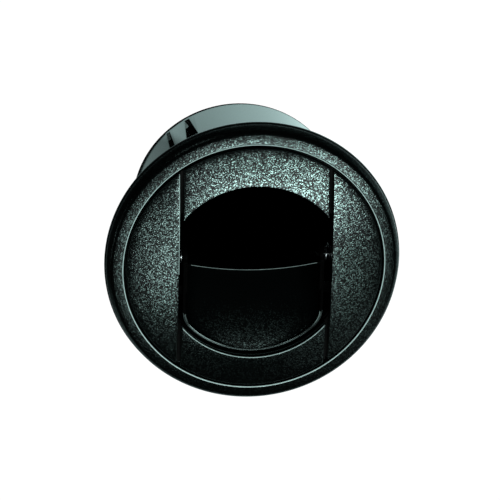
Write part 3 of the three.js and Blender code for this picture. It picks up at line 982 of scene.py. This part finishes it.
def make_carrier():
    inner = CARRIER_OPEN_X - MM
    carrier = revolve("carrier_moulding", rounded([
        (inner, CARRIER_LOW_Z, 0), (CARRIER_R, CARRIER_LOW_Z, 0.3 * MM),
        (CARRIER_R, CARRIER_TOP_Z, 0.2 * MM), (inner, CARRIER_TOP_Z, 0),
    ]))
    low, high = CARRIER_LOW_Z - MM, CARRIER_TOP_Z + MM
    combine(carrier, [prism("cutter", carrier_opening(), low, high)], "DIFFERENCE")
    walls = []
    holes = []
    for side in (-1, 1):
        walls += carrier_walls(side)
        hole_x = (side * (CARRIER_OPEN_X - MM), side * (CARRIER_OPEN_X + PIVOT_WALL + GAP))
        holes.append(cross_cylinder("hole", PIN_HOLE_R, *hole_x, PIVOT_Y, PIVOT_Z, SMALL_SEGMENTS))
    for x, y in SCREW_PLACES.values():
        shank = circle(SCREW_SHANK_R + GAP, x, y, SMALL_SEGMENTS)
        head = circle(SCREW_HEAD_R + GAP, x, y, SMALL_SEGMENTS)
        holes.append(prism("hole", shank, low, high))
        holes.append(prism("hole", head, low, SCREW_HEAD_TOP_Z + GAP))
    combine(carrier, [make_skirt()] + walls, "UNION")
    combine(carrier, holes, "DIFFERENCE")
    smooth(carrier)
    finish_piece(carrier, "cap", CARRIER, "cap_carrier")


# ---- screws, pins, washers, springs and bumpers ---------------------------------------------------


THREAD_PITCH = 0.5 * MM
THREAD_DEPTH = 0.25 * MM
CROSS_HALF = 1.2 * MM  # half the length of the cross recess
CROSS_HALF_WIDTH = 0.25 * MM
CROSS_DEPTH = 0.6 * MM
PIN_R = 0.95 * MM
PIN_SHORT = 1.0 * MM  # the pin's inner end lies this far inside the CAD pin's
WASHER_R = 2.1 * MM


def screw_profile(base):
    """Head below, thread above, as (r, z, radius) corners from the axis to the axis."""
    core = SCREW_SHANK_R - THREAD_DEPTH
    corners = [
        (0, base, 0), (SCREW_HEAD_R, base, 0.3 * MM),
        (SCREW_HEAD_R, SCREW_HEAD_TOP_Z, 0.15 * MM), (core, SCREW_HEAD_TOP_Z, 0.1 * MM),
    ]
    turns = int((SCREW_TIP_Z - SCREW_HEAD_TOP_Z - 0.5 * MM) / THREAD_PITCH)
    for i in range(turns):
        z = SCREW_HEAD_TOP_Z + 0.3 * MM + i * THREAD_PITCH
        crest_z, foot_z = z + THREAD_PITCH * 0.3, z + THREAD_PITCH * 0.6
        corners += [(core, z, 0), (SCREW_SHANK_R, crest_z, 0), (core, foot_z, 0)]
    corners += [(core * 0.7, SCREW_TIP_Z - 0.1 * MM, 0), (0, SCREW_TIP_Z, 0)]
    return rounded(corners, closed=False, steps=4)


def make_screw(node, x, y):
    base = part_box(node)[0].z
    screw = revolve(f"{node}_body", screw_profile(base), SMALL_SEGMENTS, closed=False)
    low, recess = base - MM, base + CROSS_DEPTH
    bars = []
    for half_x, half_y in ((CROSS_HALF, CROSS_HALF_WIDTH), (CROSS_HALF_WIDTH, CROSS_HALF)):
        bars.append(box_solid("bar", -half_x, half_x, -half_y, half_y, low, recess))
    combine(screw, bars, "DIFFERENCE")
    screw.data.transform(Matrix.Translation((x, y, 0)))
    smooth(screw, 30)
    finish_piece(screw, "cap", STEEL, node)


def lay_on_pivot(piece, low_x):
    """Turns a piece made about Z to lie along the pivot's axis, from low_x on."""
    piece.data.transform(Matrix.Rotation(math.pi / 2, 4, "Y"))
    piece.data.transform(Matrix.Translation((low_x, PIVOT_Y, PIVOT_Z)))


def make_pin(node, side):
    """A plain dowel, cut short so that its inner end lies inside the ear."""
    low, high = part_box(node)
    length = high.x - low.x - PIN_SHORT
    corners = [(0, 0, 0), (PIN_R, 0, 0.25 * MM), (PIN_R, length, 0.25 * MM), (0, length, 0)]
    pin = revolve(f"{node}_dowel", rounded(corners, closed=False, steps=4), PIN_SEGMENTS, closed=False)
    lay_on_pivot(pin, low.x + PIN_SHORT if side > 0 else low.x)
    smooth(pin, 40)
    finish_piece(pin, "cap", BLACK_STEEL, node)


def make_washer(node):
    low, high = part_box(node)
    thickness = high.x - low.x
    corners = [
        (PIN_HOLE_R, 0, 0.08 * MM), (WASHER_R, 0, 0.12 * MM),
        (WASHER_R, thickness, 0.12 * MM), (PIN_HOLE_R, thickness, 0.08 * MM),
    ]
    washer = revolve(f"{node}_ring", rounded(corners, steps=3), PIN_SEGMENTS)
    lay_on_pivot(washer, low.x)
    smooth(washer, 50)
    finish_piece(washer, "cap", STEEL, node)


SPRING_X = 22 * MM
SPRING_TURNS = 3.5
SPRING_PITCH = 0.56 * MM
SPRING_R = 1.88 * MM  # mean radius of the coil
WIRE_R = 0.22 * MM
SPRING_LEG = 3 * MM
COIL_STEPS = 150
LEG_STEPS = 6


def spring_points(side):
    """The spring's centre line: a straight leg, the coil round the pivot, and a second leg."""
    points = []
    coil = SPRING_TURNS * 2 * math.pi
    for i in range(-LEG_STEPS, COIL_STEPS + LEG_STEPS + 1):
        on_coil = min(max(i, 0), COIL_STEPS)
        turn = coil * on_coil / COIL_STEPS
        past = SPRING_LEG * (i - on_coil) / LEG_STEPS
        x = side * (SPRING_X + WIRE_R + turn / (2 * math.pi) * SPRING_PITCH)
        y = PIVOT_Y + SPRING_R * math.cos(turn) - past * math.sin(turn)
        z = PIVOT_Z + SPRING_R * math.sin(turn) + past * math.cos(turn)
        points.append((x, y, z))
    return points


def make_spring(node, side):
    curve = bpy.data.curves.new(f"{node}_line", "CURVE")
    curve.dimensions = "3D"
    curve.bevel_depth = WIRE_R
    curve.bevel_resolution = 4
    curve.use_fill_caps = True
    line = curve.splines.new("POLY")
    points = spring_points(side)
    line.points.add(len(points) - 1)
    for point, co in zip(line.points, points):
        point.co = (*co, 1)
    holder = new_object("spring_line", curve)
    graph = bpy.context.evaluated_depsgraph_get()
    mesh = bpy.data.meshes.new_from_object(holder.evaluated_get(graph))
    bpy.data.objects.remove(holder)
    spring = new_object(f"{node}_wire", mesh)
    bm = bmesh.new()
    bm.from_mesh(mesh)
    bmesh.ops.remove_doubles(bm, verts=bm.verts, dist=MM / 1000)
    bm.to_mesh(mesh)
    bm.free()
    face_outwards(spring)
    smooth(spring, 50)
    finish_piece(spring, "cap", SPRING_STEEL, node)


def make_bumper(node):
    low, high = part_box(node)
    radius = (high.x - low.x) / 2
    corners = [(0, low.z, 0), (radius, low.z, 0.3 * MM), (radius, high.z, 0.1 * MM), (0, high.z, 0)]
    bumper = revolve(f"{node}_pad", rounded(corners, closed=False), SMALL_SEGMENTS, closed=False)
    bumper.data.transform(Matrix.Translation(((low.x + high.x) / 2, (low.y + high.y) / 2, 0)))
    smooth(bumper, 40)
    finish_piece(bumper, "cap", RUBBER, node)


def make_hardware():
    for node, (x, y) in SCREW_PLACES.items():
        make_screw(node, x, y)
    for word, side in (("left", -1), ("right", 1)):
        make_pin(f"hinge_pin_{word}", side)
        make_washer(f"pivot_washer_{word}")
        make_spring(f"return_spring_{word}", side)
        make_bumper(f"stop_bumper_{word}")


# ---- stage ----------------------------------------------------------------------------------------


FLOOR_HOLE_R = TUBE_R - 0.1 * MM
FLOOR_HOLE_DEPTH = 2 * MM
FLOOR_GLOW = 1.05
TABLE_TINT = (0.72, 1.0, 0.98, 1)
TABLE_R = 0.4


def glowing(name, obj, colour, strength):
    """A material that only gives off light."""
    material, nodes, links, shader = new_material(name)
    shader.inputs["Base Color"].default_value = (0, 0, 0, 1)
    shader.inputs["Specular IOR Level"].default_value = 0
    shader.inputs["Emission Color"].default_value = colour
    shader.inputs["Emission Strength"].default_value = strength
    material.cycles.emission_sampling = "NONE"
    obj.data.materials.append(material)
    return nodes, links, shader


def only_seen(obj):
    """A backdrop that the camera sees, and that gives no light."""
    obj.visible_diffuse = False
    obj.visible_glossy = False
    obj.visible_shadow = False


def make_floor():
    """A white sweep with the round hole that a worktop has under the grommet, closed by a black sheet of
    painted shade.
    """
    sweep_line = [(FLOOR_HOLE_R, 0), (2, 0), (2.8, 0.8), (3, 2), (2, 3), (0, 3)]
    sweep = revolve("floor", sweep_line, 128, closed=False)
    glowing("white_sweep", sweep, (1, 1, 1, 1), FLOOR_GLOW)
    only_seen(sweep)
    # painted shade: a black sheet closes the hole 2 mm down, for the dark space under the worktop
    well_line = [(FLOOR_HOLE_R, 0), (FLOOR_HOLE_R, -FLOOR_HOLE_DEPTH), (0, -FLOOR_HOLE_DEPTH)]
    well = revolve("hole_in_worktop", well_line, 96, closed=False)
    glowing("painted_shade_well", well, (0, 0, 0, 1), 0.0)


def distance_along(nodes, links, place, direction):
    """How far a place lies along a direction."""
    node = nodes.new("ShaderNodeVectorMath")
    node.operation = "DOT_PRODUCT"
    node.inputs[1].default_value = direction
    links.new(place, node.inputs[0])
    return node.outputs["Value"]


def distance_from_axis(nodes, links, place):
    node = nodes.new("ShaderNodeVectorMath")
    node.operation = "LENGTH"
    links.new(place, node.inputs[0])
    return node.outputs["Value"]


def make_table_light():
    """The lit table as the gloss shows it: bright close to the tube, dim in front and to the right."""
    rings = [(TUBE_R + 0.38 * MM, 0), (TABLE_R, 0)]
    table = revolve("lit_table", rings, 96, closed=False)
    table.data.transform(Matrix.Translation((-0.33 * MM, -0.06 * MM, 0)))
    nodes, links, shader = glowing("table_light", table, TABLE_TINT, 1.0)
    place = object_place(nodes)
    across = distance_along(nodes, links, place, (1, 0, 0))
    frontward = distance_along(nodes, links, place, (0.5, -0.86, 0))
    left_edge = spread_over(nodes, links, across, (-25 * MM, 0.45), (-21 * MM, 1.15))
    to_right = spread_over(nodes, links, across, (-22 * MM, 0.0), (4 * MM, 0.6))
    reach = distance_from_axis(nodes, links, place)
    fade = spread_over(nodes, links, reach, (46 * MM, 1.0), (75 * MM, 0.03))
    near = calculate(nodes, links, "ADD", left_edge, to_right)
    near = calculate(nodes, links, "MULTIPLY", near, fade)
    far = spread_over(nodes, links, frontward, (-20 * MM, 0.0), (60 * MM, 0.3))
    links.new(calculate(nodes, links, "ADD", near, far), shader.inputs["Emission Strength"])
    table.visible_camera = False


def aimed(position, target):
    """A rotation that looks from position to target, with +Y upwards."""
    back = (position - target).normalized()
    right = Vector((0, 1, 0)).cross(back).normalized()
    up = back.cross(right)
    return Matrix((right, up, back)).transposed().to_4x4()


def make_camera():
    """A long lens above the +Y side of the face, turned a little towards -X."""
    tilt = math.radians(24.08)
    swing = math.radians(15.46)
    roll = math.radians(1.57)
    distance = 1.1
    off_right = -1.26 * MM
    off_up = 5.2 * MM
    away = Vector((-math.sin(swing) * math.sin(tilt), math.cos(swing) * math.sin(tilt), math.cos(tilt)))
    turn = aimed(away, Vector()) @ Matrix.Rotation(roll, 4, "Z")
    right, up, _ = turn.to_3x3().col
    aim = FACE_CENTRE + right * off_right + up * off_up
    data = bpy.data.cameras.new("camera")
    data.sensor_width = 36
    data.lens = 271.4
    data.clip_start = 0.01
    data.clip_end = 20
    camera = bpy.data.objects.new("camera", data)
    camera.matrix_world = Matrix.Translation(aim + away * distance) @ turn
    bpy.context.scene.collection.objects.link(camera)
    bpy.context.scene.camera = camera


# Each lamp's direction from the face, the angles that it fills across and along, and its radiance.
SOFTBOXES = {
    "key": ((0.21, -0.03, 0.97), (0.70, 0.24), 11.3),
    "right": ((0.42, -0.38, 0.81), (0.16, 0.28), 2.5),
    "left": ((-0.24, -0.32, 0.88), (0.18, 0.42), 5.3),
    "front": ((0.45, -0.62, 0.64), (0.4, 0.4), 0.14),
    "low_front": ((0.7, -0.7, 0.12), (0.9, 0.25), 0.25),
    "low_back": ((-0.5, 0.85, 0.1), (0.05, 0.4), 1.5),
    "low_left": ((-0.98, -0.1, 0.1), (0.05, 0.4), 1.5),
}
LAMP_DISTANCE = 1.2
LAMP_TINT = (0.86, 1.0, 0.98)
WORLD_COLOUR = (0.005, 0.006, 0.006, 1)


def make_softbox(name, direction, spread, radiance):
    """A rectangular lamp that faces the middle of the face."""
    data = bpy.data.lights.new(name, "AREA")
    data.shape = "RECTANGLE"
    data.size = spread[0] * LAMP_DISTANCE
    data.size_y = spread[1] * LAMP_DISTANCE
    data.energy = math.pi * data.size * data.size_y * radiance
    data.color = LAMP_TINT
    lamp = bpy.data.objects.new(name, data)
    place = FACE_CENTRE + Vector(direction).normalized() * LAMP_DISTANCE
    lamp.matrix_world = Matrix.Translation(place) @ aimed(place, FACE_CENTRE)
    lamp.visible_camera = False
    bpy.context.scene.collection.objects.link(lamp)


def make_lights():
    for name, (direction, spread, radiance) in SOFTBOXES.items():
        make_softbox(name, direction, spread, radiance)
    world = bpy.data.worlds.new("studio")
    world.use_nodes = True
    world.node_tree.nodes["Background"].inputs["Color"].default_value = WORLD_COLOUR
    bpy.context.scene.world = world


bpy.context.scene.view_settings.view_transform = "Standard"
make_camera()
make_floor()
make_table_light()
make_lights()
make_liner()
make_face()
make_scoop()
make_carrier()
make_hardware()
